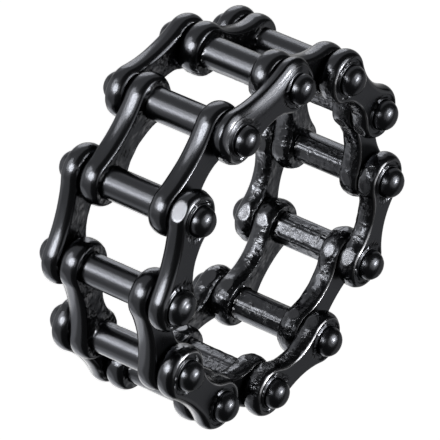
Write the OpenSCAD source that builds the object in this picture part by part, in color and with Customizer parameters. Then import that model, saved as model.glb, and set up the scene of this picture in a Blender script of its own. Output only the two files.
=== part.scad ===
// Finger ring in the form of a closed roller chain.
// The ring's axis is Z and the rivet heads of one side stand on Z = 0.

/* [Ring] */
// Diameter of the finger hole, in mm
finger_hole_d = 19.8; // [17:0.1:23]
// Number of pins round the ring
pin_count = 12; // [10:2:14]
// Depth of the flat that the finger hole grinds on an outer plate's ends
hole_flat = 0.1; // [0.06:0.01:0.15]

/* [Outer plates] */
// Radius of an outer plate's round ends
outer_end_r = 1.95; // [1.6:0.05:2.3]
// From an outer plate's centre line to its edge at the waist, on the finger side
outer_waist_in = 0.98; // [0.7:0.02:1.3]
// From an outer plate's centre line to its edge at the waist, on the outward side
outer_waist_out = 1.4; // [0.9:0.02:1.5]
// Thickness of an outer plate
outer_plate_t = 1.4; // [1:0.05:2]
// How far an outer plate's rim bulges
outer_crown = 0.4; // [0.1:0.02:0.5]

/* [Inner plates] */
// Radius of an inner plate's round ends
inner_end_r = 1.9; // [1.6:0.05:2.3]
// From an inner plate's centre line to its edge at the waist, on the finger side
inner_waist_in = 0.96; // [0.7:0.02:1.3]
// From an inner plate's centre line to its edge at the waist, on the outward side
inner_waist_out = 1.36; // [0.9:0.02:1.5]
// Thickness of an inner plate
inner_plate_t = 1.5; // [1:0.05:2]
// How far an inner plate's rim bulges
inner_crown = 0.32; // [0.1:0.02:0.45]
// Width of the groove between an inner plate and an outer plate
groove_w = 0.12; // [0.1:0.02:0.4]

/* [Rollers] */
// Length of a roller
roller_len = 4.2; // [2.5:0.1:6]
// Outer diameter of a roller
roller_d = 2.3; // [2:0.1:3.2]

/* [Pins] */
// Diameter of a pin's shank
pin_d = 1.5; // [1:0.05:1.7]
// Diameter of a domed rivet head
head_d = 2.24; // [1.9:0.02:3]
// Height of a domed rivet head
head_h = 1.0; // [0.4:0.02:1.05]

/* [Clearances] */
// Gap round a shank in the bore of a plate or roller
bore_gap = 0.04; // [0.02:0.01:0.08]
// Gap between faces that lie on each other
face_gap = 0.05; // [0.02:0.01:0.1]

/* [Hidden] */
smooth = 96;
past = 1;
steel_black = "#1c1d20";
link_count = pin_count / 2;
step = 360 / pin_count;
pin_circle_r = finger_hole_d / 2 + outer_end_r - hole_flat;
pitch = 2 * pin_circle_r * sin(step / 2);
chord_r = pin_circle_r * cos(step / 2);
inner_face_z = roller_len / 2 + face_gap;
outer_face_z = inner_face_z + inner_plate_t + groove_w;
head_seat_z = outer_face_z + outer_plate_t + face_gap;
ring_half_w = head_seat_z + head_h;

function numbered(stem, count) = [for (i = [1 : count]) str(stem, i)];

// Radius of the arc that bulges by crown over a rim of thickness t
function rim_arc_r(t, crown) = (t * t / 4 + crown * crown) / (2 * crown);

// Radius of the hollow between two ends of radius end_r, whose bottom is waist from the centre line
function hollow_r(end_r, waist) =
    (pow(pitch / 2, 2) + pow(waist, 2) - pow(end_r, 2)) / (2 * (end_r - waist));

// Round end with a bulging rim
module plate_end(end_r, t, crown) {
    arc_r = rim_arc_r(t, crown);
    rotate_extrude($fn = smooth)
        intersection() {
            translate([0, -t / 2]) square([end_r, t]);
            translate([end_r - arc_r, 0]) circle(arc_r, $fn = smooth);
        }
}

// What is cut away beside the waist, so that the hollow's rim bulges like the ends
module waist_hollow(r, t, crown) {
    arc_r = rim_arc_r(t, crown);
    rotate_extrude($fn = smooth)
        difference() {
            translate([0, -t]) square([r + crown, 2 * t]);
            translate([r + arc_r, 0]) circle(arc_r, $fn = smooth);
        }
}

// Figure-eight plate along Y, centred on the chord between its two pins, which is at X = 0
// It is hollowed deep on the finger side, -X, and less on the outward side
module link_plate(end_r, waist_in, waist_out, t, crown) {
    r_in = hollow_r(end_r, waist_in);
    r_out = hollow_r(end_r, waist_out);
    in_x = -r_in - waist_in;
    out_x = r_out + waist_out;
    difference() {
        union() {
            for (side = [-1, 1])
                translate([0, side * pitch / 2, 0]) plate_end(end_r, t, crown);
            difference() {
                translate([0, 0, -t / 2]) linear_extrude(t)
                    polygon([[0, -pitch / 2], [out_x, 0], [0, pitch / 2], [in_x, 0]]);
                translate([in_x, 0, 0]) waist_hollow(r_in, t, crown);
                translate([out_x, 0, 0]) waist_hollow(r_out, t, crown);
            }
        }
        for (side = [-1, 1])
            translate([0, side * pitch / 2, -t / 2 - past])
                cylinder(d = pin_d + 2 * bore_gap, h = t + 2 * past, $fn = smooth);
        translate([-chord_r, 0, -t / 2 - past])
            cylinder(d = finger_hole_d, h = t + 2 * past, $fn = smooth);
    }
}

// Places a plate between pin number first_pin and the next one, with its middle at height z
module on_chord(first_pin, z) {
    rotate([0, 0, (first_pin + 0.5) * step])
        translate([chord_r, 0, ring_half_w + z]) children();
}

// Places a roller or pin at pin number pin
module on_pin(pin) {
    rotate([0, 0, pin * step]) translate([pin_circle_r, 0, ring_half_w]) children();
}

module outer_plate(link, side) {
    color(steel_black)
        on_chord(2 * link - 2, side * (outer_face_z + outer_plate_t / 2))
            link_plate(outer_end_r, outer_waist_in, outer_waist_out, outer_plate_t, outer_crown);
}

module inner_plate(link, side) {
    color(steel_black)
        on_chord(2 * link - 1, side * (inner_face_z + inner_plate_t / 2))
            link_plate(inner_end_r, inner_waist_in, inner_waist_out, inner_plate_t, inner_crown);
}

module roller(pin) {
    color(steel_black)
        on_pin(pin)
            difference() {
                cylinder(d = roller_d, h = roller_len, center = true, $fn = smooth);
                cylinder(d = pin_d + 2 * bore_gap, h = roller_len + 2 * past, center = true, $fn = smooth);
            }
}

// Domed head that stands on Z = 0
module rivet_head() {
    dome_r = (head_d * head_d / 4 + head_h * head_h) / (2 * head_h);
    rotate_extrude($fn = smooth)
        intersection() {
            square([head_d / 2, head_h]);
            translate([0, head_h - dome_r]) circle(dome_r, $fn = smooth);
        }
}

module rivet_pin(pin) {
    color(steel_black)
        on_pin(pin)
            union() {
                cylinder(d = pin_d, h = 2 * head_seat_z, center = true, $fn = smooth);
                translate([0, 0, head_seat_z]) rivet_head();
                mirror([0, 0, 1]) translate([0, 0, head_seat_z]) rivet_head();
            }
}

for (i = [1 : link_count]) {
    outer_plate(i, 1);
    outer_plate(i, -1);
    inner_plate(i, 1);
    inner_plate(i, -1);
}
for (i = [1 : pin_count]) {
    roller(i - 1);
    rivet_pin(i - 1);
}
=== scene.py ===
import bpy
import math
import numpy as np
from mathutils import Matrix, Vector


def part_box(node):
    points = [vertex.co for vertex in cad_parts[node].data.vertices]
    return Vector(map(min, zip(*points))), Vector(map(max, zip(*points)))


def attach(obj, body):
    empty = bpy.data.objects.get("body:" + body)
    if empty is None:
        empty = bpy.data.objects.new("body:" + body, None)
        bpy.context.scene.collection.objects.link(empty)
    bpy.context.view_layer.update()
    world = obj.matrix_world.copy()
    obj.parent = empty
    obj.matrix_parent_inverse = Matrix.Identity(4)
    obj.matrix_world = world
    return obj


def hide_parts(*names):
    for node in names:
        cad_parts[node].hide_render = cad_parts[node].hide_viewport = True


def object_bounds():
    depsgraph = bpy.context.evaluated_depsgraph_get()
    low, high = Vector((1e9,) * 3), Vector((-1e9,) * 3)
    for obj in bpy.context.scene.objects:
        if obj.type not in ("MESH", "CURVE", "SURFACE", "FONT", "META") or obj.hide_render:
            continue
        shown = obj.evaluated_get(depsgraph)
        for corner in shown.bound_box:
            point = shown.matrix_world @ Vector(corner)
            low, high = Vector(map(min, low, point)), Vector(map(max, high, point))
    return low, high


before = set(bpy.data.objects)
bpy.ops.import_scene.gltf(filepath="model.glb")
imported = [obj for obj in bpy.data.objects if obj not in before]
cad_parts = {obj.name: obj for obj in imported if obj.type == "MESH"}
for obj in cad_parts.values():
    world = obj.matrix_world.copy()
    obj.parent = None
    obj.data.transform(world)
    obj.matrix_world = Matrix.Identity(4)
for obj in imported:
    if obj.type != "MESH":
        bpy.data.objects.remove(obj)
cadLow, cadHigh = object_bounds()
mm = 0.001
samePoint = 1e-5 * mm           # points that lie closer than this become one


# places and sizes that the parts in model.glb give

def boxOf(node):
    low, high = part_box(node)
    return np.array(low), np.array(high)


rollerLow, rollerHigh = boxOf("roller_1")
outerLow, outerHigh = boxOf("outer_plate_top_1")
innerLow, innerHigh = boxOf("inner_plate_top_6")
pinLow, pinHigh = boxOf("rivet_pin_1")
ring = {
    "pinCount": sum(name.startswith("roller_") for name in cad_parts),
    "pinCircle": (rollerLow[0] + rollerHigh[0]) / 2,
    "midHeight": (pinLow[2] + pinHigh[2]) / 2,
}
ring["step"] = 2 * math.pi / ring["pinCount"]
ring["pitch"] = 2 * ring["pinCircle"] * math.sin(ring["step"] / 2)
ring["chord"] = ring["pinCircle"] * math.cos(ring["step"] / 2)


# noise and mesh helpers

def latticeValue(cell, seed):
    # a number from 0 to 1 for each lattice point: the fractional part of a large sine of its coordinates
    mixed = cell[..., 0] * 127.1 + cell[..., 1] * 311.7 + cell[..., 2] * 74.7 + seed * 19.19
    return np.modf(np.abs(np.sin(mixed) * 43758.5453))[0]


def softNoise(points, size, seed):
    # value noise, -1 to 1: the eight lattice values round a point, blended by smoothstep of its place
    scaled = points / size
    cell = np.floor(scaled)
    inside = scaled - cell
    blend = inside * inside * (3 - 2 * inside)
    total = np.zeros(points.shape[:-1])
    for corner in np.ndindex(2, 2, 2):
        weight = np.prod(np.where(corner, blend, 1 - blend), axis=-1)
        total = total + weight * latticeValue(cell + np.array(corner), seed)
    return 2 * total - 1


def castNoise(points, size, seed):
    # three octaves of value noise, each half as large and half as strong as the one before
    return sum(softNoise(points, size / 2 ** k, seed + k) / 2 ** k for k in range(3)) / 1.75


def smoothStep(value, start, end):
    # 0 below start, 1 above end, and the cubic 3x^2 - 2x^3 between them
    x = np.clip((value - start) / (end - start), 0, 1)
    return x * x * (3 - 2 * x)


def gridNormals(grid):
    # cross product of the differences along the rows and along the columns, which close on themselves
    along = np.roll(grid, -1, axis=1) - np.roll(grid, 1, axis=1)
    across = np.gradient(grid, axis=0)
    normal = np.cross(across, along)
    return normal / np.maximum(np.linalg.norm(normal, axis=-1, keepdims=True), 1e-15)


def meshFromGrid(name, grid, keepFaces=None, attributes=None, flip=False):
    # quads between neighbouring rows and columns, the columns closed on themselves, equal points made one
    # a quad with two equal corners becomes a triangle, and one with more is left out
    rows, columns = grid.shape[:2]
    number = np.arange(rows * columns).reshape(rows, columns)
    right = np.roll(number, -1, axis=1)
    quads = np.stack([number[:-1], number[1:], right[1:], right[:-1]], axis=-1)
    quads = quads[keepFaces] if keepFaces is not None else quads.reshape(-1, 4)
    points = grid.reshape(-1, 3)
    rounded = np.round(points / samePoint)
    first, same = np.unique(rounded, axis=0, return_index=True, return_inverse=True)[1:]
    quads = same.reshape(-1)[quads]
    if flip:
        quads = quads[:, ::-1]
    points = points[first]
    ordered = np.sort(quads, axis=1)
    repeats = (np.diff(ordered, axis=1) == 0).sum(axis=1)
    whole = quads[repeats == 0]
    pinched = quads[repeats == 1]
    keepCorner = pinched != np.roll(pinched, 1, axis=1)
    triangles = pinched[keepCorner].reshape(-1, 3)
    mesh = bpy.data.meshes.new(name)
    mesh.vertices.add(len(points))
    mesh.vertices.foreach_set("co", points.astype(np.float32).ravel())
    loops = np.concatenate([whole.ravel(), triangles.ravel()]).astype(np.int32)
    starts = np.concatenate([np.arange(len(whole)) * 4, len(whole) * 4 + np.arange(len(triangles)) * 3])
    mesh.loops.add(len(loops))
    mesh.loops.foreach_set("vertex_index", loops)
    mesh.polygons.add(len(starts))
    mesh.polygons.foreach_set("loop_start", starts.astype(np.int32))
    mesh.update(calc_edges=True)
    mesh.validate()
    mesh.shade_smooth()
    for label, values in (attributes or {}).items():
        layer = mesh.attributes.new(label, "FLOAT", "POINT")
        layer.data.foreach_set("value", values.reshape(-1)[first].astype(np.float32))
    piece = bpy.data.objects.new(name, mesh)
    bpy.context.scene.collection.objects.link(piece)
    return piece


def turned(grid, angle, height):
    # the grid turned about the ring's axis and raised
    c, s = math.cos(angle), math.sin(angle)
    x, y, z = grid[..., 0], grid[..., 1], grid[..., 2]
    return np.stack([c * x - s * y, s * x + c * y, z + height], axis=-1)


# link plates

outerPlate = {
    "stem": "outer_plate_",
    "firstPin": 0,              # an outer plate starts at pin 0, the next one two pins on
    "endRadius": cadHigh[0] - ring["pinCircle"],
    "waistIn": 0.98 * mm,       # from the centre line to the edge at the waist, on the finger side
    "waistsOut": (1.55 * mm, 1.55 * mm, 1.3 * mm, 1.2 * mm, 1.3 * mm, 1.55 * mm),   # outward, link by link
    "crown": 0.4 * mm,          # how far the rim bulges
    "low": outerLow[2],
    "high": outerHigh[2],
}
innerPlate = {
    "stem": "inner_plate_",
    "firstPin": 1,
    "endRadius": innerHigh[0] - ring["pinCircle"],
    "waistIn": 0.96 * mm,
    "waistsOut": (1.45 * mm, 1.45 * mm, 1.3 * mm, 1.25 * mm, 1.3 * mm, 1.45 * mm),
    "crown": 0.32 * mm,
    "low": innerLow[2],
    "high": innerHigh[2],
}
plateFinish = {
    "endColumns": 64,
    "boreColumns": 5,
    "spineColumns": 16,
    "faceRows": 24,
    "backRows": 12,
    "rimRows": 26,
    "edgeRows": 4,              # rows of the rim that belong to its upper edge
    "grooveRows": (6, 2),       # rows before and after the rim's lower edge that lie in the groove
    "bore": 0.79 * mm,
    "boreMargin": 0.2 * mm,     # beside a bore the faces stay flat
    "rimFullness": 2.1,         # 2 is an ellipse, more has fuller edges
    "fingerSide": (0.1, 0.65),  # how far an outline faces the finger: from, wholly
    "fingerCrown": 0.75,        # share of the bulge that is left on the finger side
    "holeRadius": 9.93 * mm,    # the finger hole, which grinds flats on the plate ends
    "holeSoftness": 0.012 * mm,
    "holeSmooths": 0.9,         # share of the cast lumps that the grinding takes away
    "recess": (1.19 * mm, 1.43 * mm, 0.13 * mm),    # ring pressed round a rivet head: from, to, depth
    "recessSlope": 0.035 * mm,
    "speckHeight": 0.85,        # of the specks in that ring, against its depth
    "faceWave": 0.016 * mm,     # how far a flat face is from flat
    "lip": 0.04 * mm,           # burr along a face's edge on the finger side
    "lipRows": (0.93, 0.99),    # from the bore to the edge: where it starts, where it is whole
    "burrRows": (0.9, 0.95),    # the same for the place where it is rubbed bright
    "castDepth": 0.07 * mm,     # lumps left by the casting on the finger side
    "castFrom": (-0.1, 0.5),    # how far the outline faces the finger there: from, wholly
    "castSink": 0.3,            # the lumps lie lower by this much of their height
    "castShift": 3,             # mm between the places where two plates read them
    "castAtFace": 0.2,          # share of them that is left at the upper face
    "faceMargin": (0.05 * mm, 0.25 * mm),   # depths under that face between which they grow
    "rimWave": 0.015 * mm,      # how far the polished rims are from even
    "pitDepth": 0.06 * mm,      # roughness of the faces that look at the rollers
    "paintedGlintSharpness": 12,    # painted glints: lighter crooked lines on them, with no shape under them, the more the thinner
    "fleck": 0.09 * mm,         # specks of metal left in the groove between two plates
    "fleckReach": (1.9 * mm, 2.1 * mm),     # distances from a pin between which they end
    "weld": 0.16 * mm,          # metal left where a roller meets an inner plate
    "weldRing": (1.15 * mm, 1.75 * mm),
    "weldSoftness": 0.1 * mm,
    "seedSteps": (7, 3, 50),    # from link to link, from bottom to top, from outer to inner plates
    "noise": {                  # size, seed, and the two values between which a patch grows from 0 to 1
        "specks": (0.22 * mm, 41, 0.1, 0.4),
        "speckPatches": (1.3 * mm, 43, -0.4, 0.2),
        "flecks": (0.36 * mm, 47, 0.2, 0.45),
        "weldPatches": (1.1 * mm, 31, -0.2, 0.4),
        "rubbed": (1.4 * mm, 53, -0.35, 0.1),
        "paintedGlintPatches": (1.5 * mm, 67, -0.5, 0.1),
        "paintedGlints": (0.5 * mm, 61),
        "faceWave": (1.7 * mm, 11),
        "rimWave": (1.3 * mm, 59),
        "pits": (0.34 * mm, 23),
        "weldLumps": (0.26 * mm, 37),
        "cast": (0.6 * mm, 0),
    },
    "wear": {                   # how bright each place is made, 0 to 1: rubbed, and painted glints on the crooked lines
        "ground": 0.02,
        "edge": 0.04,
        "specks": 0.12,
        "weld": 0.5,
        "fleck": 0.1,
        "burr": 0.42,
        "ridge": 0.1,
        # painted glints, not wear: crooked lighter lines with no shape under them
        "paintedGlints": 0.3,
    },
}
polishedSpot = {
    "node": "outer_plate_top_1",    # a flat where the polishing wheel has touched too long
    "facing": (0.92, -0.37, 0.08),
    "touches": (1.8 * mm, -3.78 * mm, 0.06 * mm),
    "depth": 0.17 * mm,
    "reach": 2 * mm,
    "wear": 0.03,
}
rolledEdge = {
    "node": "outer_plate_top_6",    # this face is polished round towards its outward rim
    "depth": 0.45 * mm,
    "reach": 1.2 * mm,
    "lean": 0.25,               # slope of the plane that the round starts from
    "hinge": (1.05 * mm, 0.25 * mm),    # distance from the outline where that plane begins, and its softness
    "facing": (-0.2, 0.6),      # how far the outline faces outward there: from, wholly
    "spineShare": 0.2,          # near the spine the face stays, because its two halves meet there
}
wideHead = {
    "pin": 2,                   # one head on the top side is wider than the others, and the ring round it too
    "plate": "outer_plate_top_1",
    "growth": 1.17,
}


def hollowOf(plate, waist):
    # the hollow arc's radius and the lean of the point where it touches the pin's arc
    # radius = (h^2 + w^2 - r^2) / (2 (r - w)), and the tangent of the lean = h / (radius + w)
    h, r = ring["pitch"] / 2, plate["endRadius"]
    radius = (h * h + waist * waist - r * r) / (2 * (r - waist))
    return radius, math.atan2(h, radius + waist)


def halfLoop(plate, firstWaist, waist):
    # outline: the arc round the pin at +Y, from the hollow of firstWaist on, then the hollow arc of waist
    # inner loop: the bore of that pin, the straight spine between the bores and the start of the other bore
    h, r, b = ring["pitch"] / 2, plate["endRadius"], plateFinish["bore"]
    firstLean = hollowOf(plate, firstWaist)[1]
    hollow, lean = hollowOf(plate, waist)
    k = plateFinish["boreColumns"]
    count = 2 * k + plateFinish["spineColumns"]
    phi = np.linspace(-firstLean, math.pi + lean, plateFinish["endColumns"], endpoint=False)
    beta = np.linspace(lean, -lean, count, endpoint=False)
    endOut = np.stack([np.cos(phi), np.sin(phi)], axis=1)
    waistOut = -np.stack([np.cos(beta), np.sin(beta)], axis=1)
    near = np.linspace(math.pi + lean, 1.5 * math.pi, k, endpoint=False)
    far = np.linspace(0.5 * math.pi, math.pi - lean, k + 1)[1:]
    nearBore = np.stack([b * np.cos(near), h + b * np.sin(near)], axis=1)
    spineY = np.linspace(h - b, b - h, plateFinish["spineColumns"] + 1)
    spine = np.stack([0 * spineY, spineY], axis=1)
    farBore = np.stack([b * np.cos(far), -h + b * np.sin(far)], axis=1)
    waistBore = np.concatenate([nearBore, spine, farBore])[:count]
    rim = np.concatenate([[0, h] + r * endOut, [-hollow - waist, 0] - hollow * waistOut])
    bore = np.concatenate([[0, h] + b * endOut, waistBore])
    onBore = np.ones(len(bore), dtype=bool)
    spineStart = plateFinish["endColumns"] + k
    onBore[spineStart:spineStart + plateFinish["spineColumns"]] = False
    return rim, np.concatenate([endOut, waistOut]), bore, onBore


def plateLoops(plate, waistOut):
    # two half loops: one ends in the hollow on the finger side, -X, the other, turned half round, outward
    rim, out, bore, onBore = halfLoop(plate, waistOut, plate["waistIn"])
    otherRim, otherOut, otherBore, otherOn = halfLoop(plate, plate["waistIn"], waistOut)
    return (np.concatenate([rim, -otherRim]), np.concatenate([out, -otherOut]),
            np.concatenate([bore, -otherBore]), np.concatenate([onBore, otherOn]))


def rimProfile(plate):
    # heights of the rim's rows, and how far each row lies inside the outline, outward and on the finger side
    # outward: the mean of a circle arc and of (1 - inset/crown)^n + (z/half)^n = 1, which rounds the edges
    # on the finger side: a circle arc of a smaller bulge
    t, c, n = (plate["high"] - plate["low"]) / 2, plate["crown"], plateFinish["rimFullness"]
    cosine = np.cos(np.linspace(0, math.pi, plateFinish["rimRows"]))
    z = t * np.sign(cosine) * np.abs(cosine) ** (2 / n)
    arc = (t * t + c * c) / (2 * c)
    plain = arc - np.sqrt(arc ** 2 - z ** 2)
    outward = (plain + c * (1 - (1 - np.abs(z / t) ** n) ** (1 / n))) / 2
    return z, outward[:, None], plateFinish["fingerCrown"] * plain[:, None]


def plateGrid(plate, rim, out, bore, fingerSide):
    # rows run from the bore over the face, round the rim, back over the other face and through the bore
    # on the faces a row is bore + share * (edge - bore), on the rim it is outline - inset * outward direction
    rimZ, outwardInset, fingerInset = rimProfile(plate)
    half = (plate["high"] - plate["low"]) / 2
    faceCount, backCount = plateFinish["faceRows"], plateFinish["backRows"]
    inset = outwardInset + (fingerInset - outwardInset) * fingerSide
    rimXY = rim - out * inset[:, :, None]
    edge = rimXY[0]
    faceShare = np.linspace(0, 1, faceCount, endpoint=False)[:, None, None]
    backShare = np.linspace(1, 0, backCount + 1)[1:, None, None]
    faceXY = bore + faceShare * (edge - bore)
    backXY = bore + backShare * (edge - bore)
    rows = np.concatenate([faceXY, rimXY, backXY, bore[None]])
    height = np.concatenate([np.full(faceCount, half), rimZ, np.full(backCount, -half), [half]])
    return np.concatenate([rows, np.broadcast_to(height[:, None, None], rows.shape[:2] + (1,))], axis=2)


def rowMask(grid, first, last):
    # 1 on the rows from first up to last, 0 on the others
    mask = np.zeros((len(grid), 1))
    mask[first:last] = 1
    return mask


def noiseOf(noise, points, setting, seed):
    # the noise with the setting's size and seed
    return noise(points, setting[0], seed + setting[1])


def patchOf(noise, points, setting, seed):
    # 0 to 1: smoothstep of that noise between the setting's two last values
    return smoothStep(noiseOf(noise, points, setting, seed), setting[2], setting[3])


def rolledOff(grid, rim, out, half, rowShare, awayFromBore):
    # how much stands above a leaning plane that ends in a quarter ellipse, where the face is polished round
    inward = np.sum((rim - grid[..., :2]) * out, axis=-1)
    past = rolledEdge["hinge"][0] - inward
    past = (past + np.hypot(past, rolledEdge["hinge"][1])) / 2
    quarter = 1 - np.sqrt(1 - np.clip(1 - inward / rolledEdge["reach"], 0, 1) ** 2)
    level = half - rolledEdge["lean"] * past - rolledEdge["depth"] * quarter
    above = np.maximum(grid[..., 2] - level, 0) * (grid[..., 2] > 0)
    offSpine = smoothStep(rowShare, 0, rolledEdge["spineShare"])
    return above * smoothStep(out[:, 0], *rolledEdge["facing"]) * awayFromBore * offSpine


def groundByHole(grid):
    # the finger hole pushes out, in the grid itself, what would reach into it
    # push = the hole's radius - the point's own, where that is more than 0
    across = grid[..., 0] + ring["chord"]
    reach = np.hypot(across, grid[..., 1])
    push = np.maximum(plateFinish["holeRadius"] - reach, 0)
    grid[..., 0] += push * across / reach
    grid[..., 1] += push * grid[..., 1] / reach
    return push


def wheelTouch(grid):
    # the direction of the flat that the wheel left, how far points stand above it, and which are near it
    # above = (point - touching place) . direction + depth
    facing = np.array(polishedSpot["facing"]) / np.linalg.norm(polishedSpot["facing"])
    fromSpot = grid - np.array(polishedSpot["touches"])
    above = fromSpot @ facing + polishedSpot["depth"]
    near = np.linalg.norm(fromSpot, axis=-1) < polishedSpot["reach"]
    return facing, above, near


def makePlate(plate, side, link):
    # the plate's grid, finished step by step: faces move along Z, the rim along its normals
    node = plate["stem"] + ("top_" if side > 0 else "bottom_") + str(link)
    perLink, perSide, perKind = plateFinish["seedSteps"]
    seed = perLink * link + (perSide if side > 0 else 0) + plate["firstPin"] * perKind
    noises, wears = plateFinish["noise"], plateFinish["wear"]
    isOuter = plate["firstPin"] == 0
    half = (plate["high"] - plate["low"]) / 2
    rim, out, bore, onBore = plateLoops(plate, plate["waistsOut"][link - 1])
    fingerSide = smoothStep(-out[:, 0], *plateFinish["fingerSide"])
    grid = plateGrid(plate, rim, out, bore, fingerSide)
    faceEnd = plateFinish["faceRows"]
    rimEnd = faceEnd + plateFinish["rimRows"]
    before, after = plateFinish["grooveRows"]
    outerFace = rowMask(grid, 0, faceEnd)
    onRim = rowMask(grid, faceEnd, rimEnd)
    backFace = rowMask(grid, rimEnd, -1)
    onEdge = rowMask(grid, faceEnd - 1, faceEnd + plateFinish["edgeRows"])
    inGroove = rowMask(grid, rimEnd - before, rimEnd + after)
    kept = np.ones((len(grid) - 1, grid.shape[1]), dtype=bool)
    kept[-1] = onBore           # the last row of faces is the bores' wall alone
    still = grid + seed * mm    # where the noises are read
    # the ring pressed round each rivet head, with specks in it, and the burr along the finger side
    toPin = np.hypot(grid[..., 0], np.abs(grid[..., 1]) - ring["pitch"] / 2)
    isWide = (node == wideHead["plate"]) & (grid[..., 1] > 0)
    toHead = np.where(isWide, toPin / wideHead["growth"], toPin)
    start, end, depth = plateFinish["recess"]
    slope = plateFinish["recessSlope"]
    inRecess = smoothStep(toHead, start - slope, start) * (1 - smoothStep(toHead, end, end + slope))
    inRecess = inRecess * outerFace * isOuter
    specks = patchOf(castNoise, still, noises["specks"], seed)
    specks = specks * patchOf(softNoise, still, noises["speckPatches"], seed) * inRecess
    wave = plateFinish["faceWave"] * noiseOf(softNoise, still, noises["faceWave"], seed)
    awayFromBore = smoothStep(toPin, plateFinish["bore"], plateFinish["bore"] + plateFinish["boreMargin"])
    rowShare = np.arange(len(grid))[:, None] / faceEnd
    lip = fingerSide * outerFace * smoothStep(rowShare, *plateFinish["lipRows"])
    grid[..., 2] += (wave - np.abs(wave)) * outerFace * awayFromBore + plateFinish["lip"] * lip
    grid[..., 2] -= depth * (inRecess - plateFinish["speckHeight"] * specks)
    if node == rolledEdge["node"]:
        grid[..., 2] -= rolledOff(grid, rim, out, half, rowShare, awayFromBore)
    # faces that look at the rollers are pitted, and metal is left round the rollers and in the groove
    pits = plateFinish["pitDepth"] * np.minimum(noiseOf(castNoise, still, noises["pits"], seed), 0)
    inner, outer = plateFinish["weldRing"]
    beyond = 1 - smoothStep(toPin, inner, outer)
    weld = smoothStep(toPin, inner - plateFinish["weldSoftness"], inner) * beyond
    weld = weld * patchOf(softNoise, still, noises["weldPatches"], seed) * backFace * (not isOuter)
    lumps = 0.5 + 0.5 * noiseOf(castNoise, still, noises["weldLumps"], seed)
    fleck = patchOf(castNoise, still, noises["flecks"], seed) * inGroove * isOuter
    fleck = fleck * (1 - smoothStep(toPin, *plateFinish["fleckReach"]))
    onBack = pits * backFace + plateFinish["weld"] * weld * lumps
    grid[..., 2] -= onBack * awayFromBore + plateFinish["fleck"] * fleck
    push = groundByHole(grid)
    # lumps on the finger side, but not on the flats that the finger hole has ground
    normal = gridNormals(grid)
    ground = smoothStep(push, 0, plateFinish["holeSoftness"]) * onRim
    unground = 1 - plateFinish["holeSmooths"] * ground
    rough = smoothStep(-out[:, 0], *plateFinish["castFrom"]) * onRim * unground
    atFace = plateFinish["castAtFace"]
    rough = rough * (atFace + (1 - atFace) * smoothStep(half - grid[..., 2], *plateFinish["faceMargin"]))
    shifted = grid + plateFinish["castShift"] * seed * mm
    bumps = noiseOf(castNoise, shifted, noises["cast"], seed) - plateFinish["castSink"]
    uneven = plateFinish["rimWave"] * (noiseOf(softNoise, still, noises["rimWave"], seed) - 1) * onRim
    grid = grid + normal * (plateFinish["castDepth"] * rough * bumps + uneven * (1 - fingerSide))[..., None]
    # rubbed bright: thinly on the flats, most on the burr and on the ridge round a head, both broken; and
    # painted glints, crooked lines made lighter on the faces that look at the rollers
    outside = 1 - smoothStep(toHead, end + slope, end + 2 * slope)
    ridge = smoothStep(toHead, end, end + slope) * outside * outerFace
    burr = fingerSide * np.maximum(onEdge, smoothStep(rowShare, *plateFinish["burrRows"]) * outerFace)
    # painted glints: thin crooked lines made lighter on the faces that look at the rollers, with no shape
    # under them
    crease = 1 - np.abs(noiseOf(castNoise, still, noises["paintedGlints"], seed))
    paintedGlints = crease ** plateFinish["paintedGlintSharpness"]
    paintedGlints = paintedGlints * patchOf(softNoise, still, noises["paintedGlintPatches"], seed) * backFace
    rubbed = patchOf(castNoise, still, noises["rubbed"], seed)
    wear = wears["ground"] * ground + wears["edge"] * onEdge + wears["specks"] * specks
    wear = wear + wears["weld"] * weld * lumps ** 2 + wears["fleck"] * fleck
    wear = wear + rubbed * np.maximum(wears["burr"] * burr, wears["ridge"] * ridge * isOuter)
    wear = wear + wears["paintedGlints"] * paintedGlints
    if node == polishedSpot["node"]:
        facing, above, near = wheelTouch(grid)
        grid = grid - facing * (np.maximum(above, 0) * near)[..., None]
        wear = wear + polishedSpot["wear"] * (above > 0) * near
        rough = rough * (above < 0)
    middle = 2 * (link - 1) + plate["firstPin"] + 0.5   # in pins round the ring
    middleZ = (plate["low"] + plate["high"]) / 2 - ring["midHeight"]
    grid[..., 0] += ring["chord"]
    grid = grid * np.array([1, 1, side])
    grid = turned(grid, middle * ring["step"], ring["midHeight"] + side * middleZ)
    # the wear mask also carries the painted glints
    marks = {
        "castMask": np.clip(rough + backFace + specks + fleck, 0, 1),
        "faceMask": np.clip(outerFace - inRecess, 0, 1),
        "wearAndGlintMask": np.clip(wear, 0, 1),
    }
    piece = meshFromGrid("visual_" + node, grid, kept, marks, flip=side < 0)
    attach(piece, "root")
    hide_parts(node)
    return piece


plates = [makePlate(plate, side, link)
          for plate in (outerPlate, innerPlate)
          for side in (1, -1)
          for link in range(1, ring["pinCount"] // 2 + 1)]
print("plates:", len(plates))


# rollers

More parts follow.
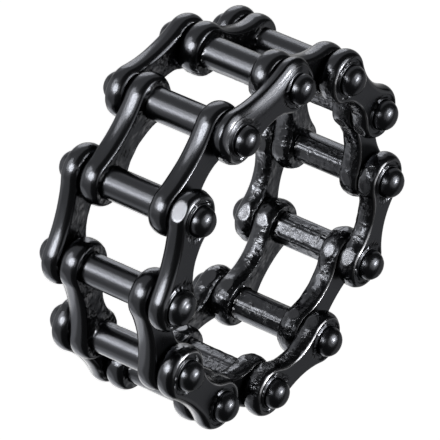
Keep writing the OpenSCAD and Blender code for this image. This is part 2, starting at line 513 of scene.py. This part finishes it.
rollerForm = {
    "radius": (rollerHigh[0] - rollerLow[0]) / 2,
    "half": (rollerHigh[2] - rollerLow[2]) / 2,
    "bore": 0.79 * mm,
    "columns": 128,
    "rows": 50,
    "rowSpacing": 1.35,         # 1 is even, more sets the rows closer together at the ends
    "flats": ((180, 0.1 * mm), (128, 0.05 * mm), (232, 0.05 * mm)),     # degrees from outward, depth
    "seams": (153, 207),        # degrees from outward of the dark seams between the flats
    "seamDepth": 0.06 * mm,
    "seamSpread": 40,           # in square degrees
    "fingerSide": (0.3, 0.5),   # how far the wall faces the finger where it is cast: from, wholly
    "castDepth": 0.03 * mm,
    "castSink": 0.3,            # the lumps lie lower by this much of their height
    "collar": 0.15 * mm,        # rough metal that the casting leaves where a roller meets its plates
    "collarWidth": 0.15 * mm,
    "collarOutward": 0.15,      # share of it that is left on the outward side
    "collarTurn": (-0.6, 0.3),  # how far the wall faces the finger where it grows: from, wholly
    "collarGrain": (0.6, 0.8),  # its even height and its grain
    "collarWear": 0.35,
    "castNoise": (0.5 * mm, 200, 5),    # size, seed, mm between the places where two rollers read it
    "grainNoise": (0.2 * mm, 250, 7),
    "raggedNoise": (0.4 * mm, 300, 9),
    "raggedFrom": (-0.2, 0.3),  # values of the last one between which the collar grows
}


def makeRoller(pin):
    # a circle carried along the pin's axis, cut by flats on the finger side, with a ragged collar at each end
    # a flat is r = (radius - depth) / cos(angle from it), and a seam is a bell curve
    r, half = rollerForm["radius"], rollerForm["half"]
    angle = np.linspace(0, 2 * math.pi, rollerForm["columns"], endpoint=False)
    even = np.linspace(-1, 1, rollerForm["rows"])
    z = -half * np.sign(even) * (1 - (1 - np.abs(even)) ** rollerForm["rowSpacing"])
    circle = np.full(len(angle), r)
    for facing, depth in rollerForm["flats"]:
        cosine = np.maximum(np.cos(angle - math.radians(facing)), 0.05)     # 0.05, so as not to divide by 0
        circle = np.minimum(circle, (r - depth) / cosine)
    for place in rollerForm["seams"]:
        bell = np.exp(-(np.degrees(angle) - place) ** 2 / rollerForm["seamSpread"])
        circle = circle - rollerForm["seamDepth"] * bell
    radius = np.broadcast_to(circle, (len(z), len(angle)))
    fingerSide = smoothStep(-np.cos(angle), *rollerForm["fingerSide"]) + 0 * radius
    height = z[:, None] + 0 * radius
    wall = np.stack([radius * np.cos(angle), radius * np.sin(angle), height], axis=-1)

    def noiseFor(label):
        size, seed, shift = rollerForm[label]
        return castNoise(wall + shift * pin * mm, size, seed + pin)

    bumps, grains = noiseFor("castNoise"), noiseFor("grainNoise")
    ragged = smoothStep(noiseFor("raggedNoise"), *rollerForm["raggedFrom"])
    atEnd = np.exp(-((half - np.abs(height)) / rollerForm["collarWidth"]) ** 2)
    outwardShare = rollerForm["collarOutward"]
    lean = outwardShare + (1 - outwardShare) * smoothStep(-np.cos(angle), *rollerForm["collarTurn"])
    evenPart, grainPart = rollerForm["collarGrain"]
    radius = radius + rollerForm["castDepth"] * fingerSide * (bumps - rollerForm["castSink"])
    radius = radius + rollerForm["collar"] * atEnd * ragged * lean * (evenPart + grainPart * grains)
    wall[..., 0] = radius * np.cos(angle)
    wall[..., 1] = radius * np.sin(angle)
    b = rollerForm["bore"]
    ends = [np.stack([b * np.cos(angle), b * np.sin(angle), np.full(len(angle), s)], axis=-1)
            for s in (half, -half)]
    grid = np.concatenate([[ends[0]], wall, [ends[1]], [ends[0]]])
    collarMask = atEnd * ragged * lean
    masks = []
    for values in (np.clip(fingerSide + collarMask, 0, 1), fingerSide, rollerForm["collarWear"] * collarMask):
        masks.append(np.concatenate([np.zeros((1, len(angle))), values, np.zeros((2, len(angle)))]))
    grid[..., 0] += ring["pinCircle"]
    grid = turned(grid, (pin - 1) * ring["step"], ring["midHeight"])
    node = f"roller_{pin}"
    marks = {"castMask": masks[0], "faceMask": masks[1], "wearAndGlintMask": masks[2]}
    piece = meshFromGrid("visual_" + node, grid, None, marks)
    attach(piece, "root")
    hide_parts(node)
    return piece


rollers = [makeRoller(pin) for pin in range(1, ring["pinCount"] + 1)]
print("rollers:", len(rollers))


# rivet pins

rivetForm = {
    "shank": 0.75 * mm,
    "headRadius": (pinHigh[0] - pinLow[0]) / 2,
    "headHeight": 1.0 * mm,
    "total": (pinHigh[2] - pinLow[2]) / 2,
    "columns": 72,
    "domeRows": 22,
    "fullness": 2.2,            # 2 is an ellipse, more is flatter on top and steeper at the side
    "dent": 0.04 * mm,          # how far a head is from round
    "dentNoise": (2.4 * mm, 400, 3),    # size, seed, mm between the places where two pins read it
}


def makeRivet(pin):
    # a profile turned about the pin's axis: shank, seat, then up to the tip by (r/head)^n + (z/tall)^n = 1
    # each head is dented a little: r -> r - dent * noise
    head, tall, total = rivetForm["headRadius"], rivetForm["headHeight"], rivetForm["total"]
    seat = total - tall
    arc = np.linspace(0, math.pi / 2, rivetForm["domeRows"])
    power = 2 / rivetForm["fullness"]
    domeR = head * np.sin(arc) ** power
    domeZ = seat + tall * np.maximum(np.cos(arc), 0) ** power
    dome = np.stack([domeR, domeZ], axis=1)
    shank = [[rivetForm["shank"], seat], [rivetForm["shank"], -seat]]
    profile = np.concatenate([dome, shank, (dome * np.array([1, -1]))[::-1]])
    angle = np.linspace(0, 2 * math.pi, rivetForm["columns"], endpoint=False)
    r = profile[:, 0, None]
    height = profile[:, 1, None] + 0 * angle
    grid = np.stack([r * np.cos(angle), r * np.sin(angle), height], axis=-1)
    size, seed, shift = rivetForm["dentNoise"]
    dents = 0.5 + 0.5 * softNoise(grid + shift * pin * mm, size, seed + pin)
    onDome = r > rivetForm["shank"] * 1.01      # rows that are clearly wider than the shank
    grid[..., :2] *= 1 - (rivetForm["dent"] / head * dents * onDome)[..., None]
    if pin == wideHead["pin"]:
        grid[..., :2] *= np.where(onDome & (height > 0), wideHead["growth"], 1)[..., None]
    mask = np.zeros(grid.shape[:2])
    marks = {"castMask": mask, "faceMask": mask, "wearAndGlintMask": mask}
    grid[..., 0] += ring["pinCircle"]
    grid = turned(grid, (pin - 1) * ring["step"], ring["midHeight"])
    node = f"rivet_pin_{pin}"
    piece = meshFromGrid("visual_" + node, grid, None, marks)
    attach(piece, "root")
    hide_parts(node)
    return piece


rivets = [makeRivet(pin) for pin in range(1, ring["pinCount"] + 1)]
print("rivets:", len(rivets))


# black plated steel

steelFinish = {
    "plating": (0.03, 0.031, 0.034, 1),     # near-black plating
    "wornAndGlint": (0.35, 0.35, 0.36, 1),          # the steel where the plating is gone, also the colour of the painted glints
    "edge": (0.52, 0.52, 0.52, 1),          # how much of the glancing mirror light a dark film leaves
    "roughnessPlates": (0.2, 0.28),         # polished, and satin on the faces
    "roughnessRollers": (0.24, 0.3),
    "roughnessRivets": (0.24, 0.24),
    "grainScale": 4500,         # grains per metre
    "chipScale": 2600,          # hollows per metre, as if hammered
    "chipDepth": 0.06 * mm,
    "grainShare": 0.15,         # height of the grains against the hollows
    "leastBump": 0.002,         # strength of all this on the polished places
    "patchScale": 1300,         # patches that are rougher than the rest
    "patchRange": (0.42, 0.6, 0.1, 0.8),    # noise from, to, gives strength from, to
    "wormScale": 1900,          # crooked ridges of the casting, rubbed a little brighter
    "wormSharpness": 8,
    "wormHeight": 0.35,         # against the hollows
    "wormWear": 0.07,
    "smudgeScale": 700,         # faint patches of duller polish
    "smudge": 0.05,
}


def blackSteel(name, polish, satin):
    # near-black metal: polished where the masks are 0, satin on faces, hammered as cast, lighter where worn
    # and along the painted glints
    # roughness = polish + (satin - polish) * faceMask + smudge * noise
    # ridge = (1 - |2 * noise - 1|) ^ sharpness, thin lines where the noise is near its middle
    # bump height = squared distance to the middle of the nearest hollow + grain noise + ridge
    # bump strength = castMask * patches, and the ridges are worn as far as the bump is strong
    material = bpy.data.materials.new(name)
    material.use_nodes = True
    nodes, links = material.node_tree.nodes, material.node_tree.links
    shader = nodes["Principled BSDF"]
    shader.inputs["Metallic"].default_value = 1.0
    shader.inputs["Specular Tint"].default_value = steelFinish["edge"]
    place = nodes.new("ShaderNodeTexCoord")
    masks = {}
    for label in ("castMask", "faceMask", "wearAndGlintMask"):
        masks[label] = nodes.new("ShaderNodeAttribute")
        masks[label].attribute_name = label

    def noise(scale, detail):
        node = nodes.new("ShaderNodeTexNoise")
        node.inputs["Scale"].default_value = scale
        node.inputs["Detail"].default_value = detail
        links.new(place.outputs["Object"], node.inputs["Vector"])
        return node.outputs["Fac"]

    def feed(sockets, values):
        for socket, value in zip(sockets, values):
            if isinstance(value, bpy.types.NodeSocket):
                links.new(value, socket)
            else:
                socket.default_value = value

    def blend(factor, low, high, kind="FLOAT"):
        node = nodes.new("ShaderNodeMix")
        node.data_type = kind
        feed([s for s in node.inputs if s.enabled and s.name in ("A", "B")], (low, high))
        links.new(factor, node.inputs["Factor"])
        return next(s for s in node.outputs if s.enabled)

    def formula(operation, *values):
        node = nodes.new("ShaderNodeMath")
        node.operation = operation
        feed(node.inputs, values)
        return node.outputs["Value"]

    grain = noise(steelFinish["grainScale"], 2)
    smudge = noise(steelFinish["smudgeScale"], 2)
    half = steelFinish["smudge"] / 2
    polished = blend(smudge, polish - half, polish + half)
    satined = blend(smudge, satin - half, satin + half)
    links.new(blend(masks["faceMask"].outputs["Fac"], polished, satined), shader.inputs["Roughness"])
    chips = nodes.new("ShaderNodeTexVoronoi")
    chips.inputs["Scale"].default_value = steelFinish["chipScale"]
    links.new(place.outputs["Object"], chips.inputs["Vector"])
    middle = formula("ABSOLUTE", formula("MULTIPLY_ADD", noise(steelFinish["wormScale"], 1), 2, -1))
    ridge = formula("POWER", formula("SUBTRACT", 1, middle), steelFinish["wormSharpness"])
    hollows = formula("POWER", chips.outputs["Distance"], 2)
    height = formula("MULTIPLY_ADD", grain, steelFinish["grainShare"], hollows)
    height = formula("MULTIPLY_ADD", ridge, steelFinish["wormHeight"], height)
    patches = nodes.new("ShaderNodeMapRange")
    for label, value in zip(("From Min", "From Max", "To Min", "To Max"), steelFinish["patchRange"]):
        patches.inputs[label].default_value = value
    links.new(noise(steelFinish["patchScale"], 1), patches.inputs["Value"])
    bump = nodes.new("ShaderNodeBump")
    bump.inputs["Distance"].default_value = steelFinish["chipDepth"]
    strength = blend(masks["castMask"].outputs["Fac"], steelFinish["leastBump"], patches.outputs["Result"])
    links.new(strength, bump.inputs["Strength"])
    links.new(height, bump.inputs["Height"])
    links.new(bump.outputs["Normal"], shader.inputs["Normal"])
    rubbed = formula("MULTIPLY", formula("MULTIPLY", ridge, strength), steelFinish["wormWear"])
    # lighter colour where worn and on the painted glints
    wornAndGlint = formula("ADD", masks["wearAndGlintMask"].outputs["Fac"], rubbed)
    links.new(blend(wornAndGlint, steelFinish["plating"], steelFinish["wornAndGlint"], "RGBA"), shader.inputs["Base Color"])
    return material


for label, pieces in (("Plates", plates), ("Rollers", rollers), ("Rivets", rivets)):
    steel = blackSteel("blackPlated" + label, *steelFinish["roughness" + label])
    for piece in pieces:
        piece.data.materials.append(steel)
print("black steel: ready")


# camera at the photograph's angle

shot = {
    "azimuth": -4.55,           # degrees from +X round the ring's axis
    "elevation": 30.15,
    "roll": 113.5,              # how far the ring's axis leans from upright in the picture
    "distance": 29.5 * ring["pinCircle"],
    "sideStep": -0.0293 * ring["pinCircle"],
    "upStep": -0.0203 * ring["pinCircle"],
    "lens": 420,                # in mm
    "sees": (0.01, 10),         # in metres, from and to
}


def directionOf(azimuth, elevation):
    # unit vector from the ring's middle: (cos el * cos az, cos el * sin az, sin el)
    az, el = math.radians(azimuth), math.radians(elevation)
    return Vector((math.cos(el) * math.cos(az), math.cos(el) * math.sin(az), math.sin(el)))


def makeCamera():
    # looks along the shot's direction, rolled about it, from a place stepped sideways and up a little
    az, roll = math.radians(shot["azimuth"]), math.radians(shot["roll"])
    back = directionOf(shot["azimuth"], shot["elevation"])
    flatRight = Vector((-math.sin(az), math.cos(az), 0))
    flatUp = back.cross(flatRight)
    right = flatRight * math.cos(roll) + flatUp * math.sin(roll)
    up = back.cross(right)
    data = bpy.data.cameras.new("photoCamera")
    data.lens = shot["lens"]
    data.clip_start, data.clip_end = shot["sees"]
    camera = bpy.data.objects.new("photoCamera", data)
    middle = Vector((0, 0, ring["midHeight"]))
    place = middle + back * shot["distance"] + right * shot["sideStep"] + up * shot["upStep"]
    camera.matrix_world = Matrix.Translation(place) @ Matrix((right, up, back)).transposed().to_4x4()
    bpy.context.scene.collection.objects.link(camera)
    bpy.context.scene.camera = camera


makeCamera()


# light table and softboxes

studio = {
    "floorSize": 1.2,           # in metres
    "floorColour": (0.9, 0.9, 0.9, 1),
    "floorRoughness": 0.9,
    "floorGlow": 0.95,          # the white floor is a light table, so the ring throws almost no shadow
    "air": 0.1,                 # light that comes evenly from the dark room
    "distance": 0.35,           # from the ring to each softbox, in metres
    "softboxes": {              # azimuth, elevation, width, height in degrees, brightness
        "front": (5, -10, 30, 38, 23),
        "frontLow": (-4, -34, 42, 32, 6.5),
        "frontHigh": (4, 16, 28, 24, 2.0),
        "frontGlow": (6, -34, 60, 70, 0.4),
        "side": (242, -38, 38, 34, 7),
        "sideGlow": (240, -46, 66, 50, 1.0),
        "far": (124, -28, 44, 42, 5),
        "farWide": (108, -38, 62, 46, 1.8),
        "under": (60, -80, 50, 50, 1.2),
        "top": (268, 64, 48, 48, 6.5),
        "topCore": (262, 70, 16, 18, 60),
        "topGlow": (290, 76, 76, 64, 1.5),
        "back": (175, 20, 74, 44, 0.9),
    },
}


def makeFloor():
    # one square on Z = 0
    mesh = bpy.data.meshes.new("floor")
    s = studio["floorSize"] / 2
    mesh.from_pydata([(-s, -s, 0), (s, -s, 0), (s, s, 0), (-s, s, 0)], [], [(0, 1, 2, 3)])
    floor = bpy.data.objects.new("floor", mesh)
    bpy.context.scene.collection.objects.link(floor)
    acrylic = bpy.data.materials.new("paleFloor")
    acrylic.use_nodes = True
    shader = acrylic.node_tree.nodes["Principled BSDF"]
    shader.inputs["Base Color"].default_value = studio["floorColour"]
    shader.inputs["Roughness"].default_value = studio["floorRoughness"]
    shader.inputs["Emission Color"].default_value = (1, 1, 1, 1)
    shader.inputs["Emission Strength"].default_value = studio["floorGlow"]
    floor.data.materials.append(acrylic)
    return floor


def softLight(name, azimuth, elevation, width, height, brightness, ringOnly):
    # an oval softbox that faces the ring: its watts are pi x its area x its brightness
    # it lights the ring alone, so one below the horizon shines up through the light table
    away = directionOf(azimuth, elevation)
    data = bpy.data.lights.new(name, "AREA")
    data.shape = "ELLIPSE"
    data.size = 2 * studio["distance"] * math.tan(math.radians(width / 2))
    data.size_y = 2 * studio["distance"] * math.tan(math.radians(height / 2))
    data.energy = math.pi * (math.pi * data.size * data.size_y / 4) * brightness
    lamp = bpy.data.objects.new(name, data)
    lamp.location = Vector((0, 0, ring["midHeight"])) + away * studio["distance"]
    lamp.rotation_mode = "QUATERNION"
    lamp.rotation_quaternion = away.to_track_quat("Z", "Y")
    lamp.visible_camera = False
    bpy.context.scene.collection.objects.link(lamp)
    lamp.light_linking.receiver_collection = ringOnly
    lamp.light_linking.blocker_collection = ringOnly


floor = makeFloor()
allButFloor = bpy.data.collections.new("allButFloor")
allButFloor.objects.link(floor)
allButFloor.collection_objects[0].light_linking.link_state = "EXCLUDE"
for label, numbers in studio["softboxes"].items():
    softLight(label, *numbers, allButFloor)
world = bpy.data.worlds.new("studio")
world.use_nodes = True
world.node_tree.nodes["Background"].inputs["Color"].default_value = (1, 1, 1, 1)
world.node_tree.nodes["Background"].inputs["Strength"].default_value = studio["air"]
bpy.context.scene.world = world
bpy.context.scene.view_settings.view_transform = "Standard"
print("camera and light: ready")
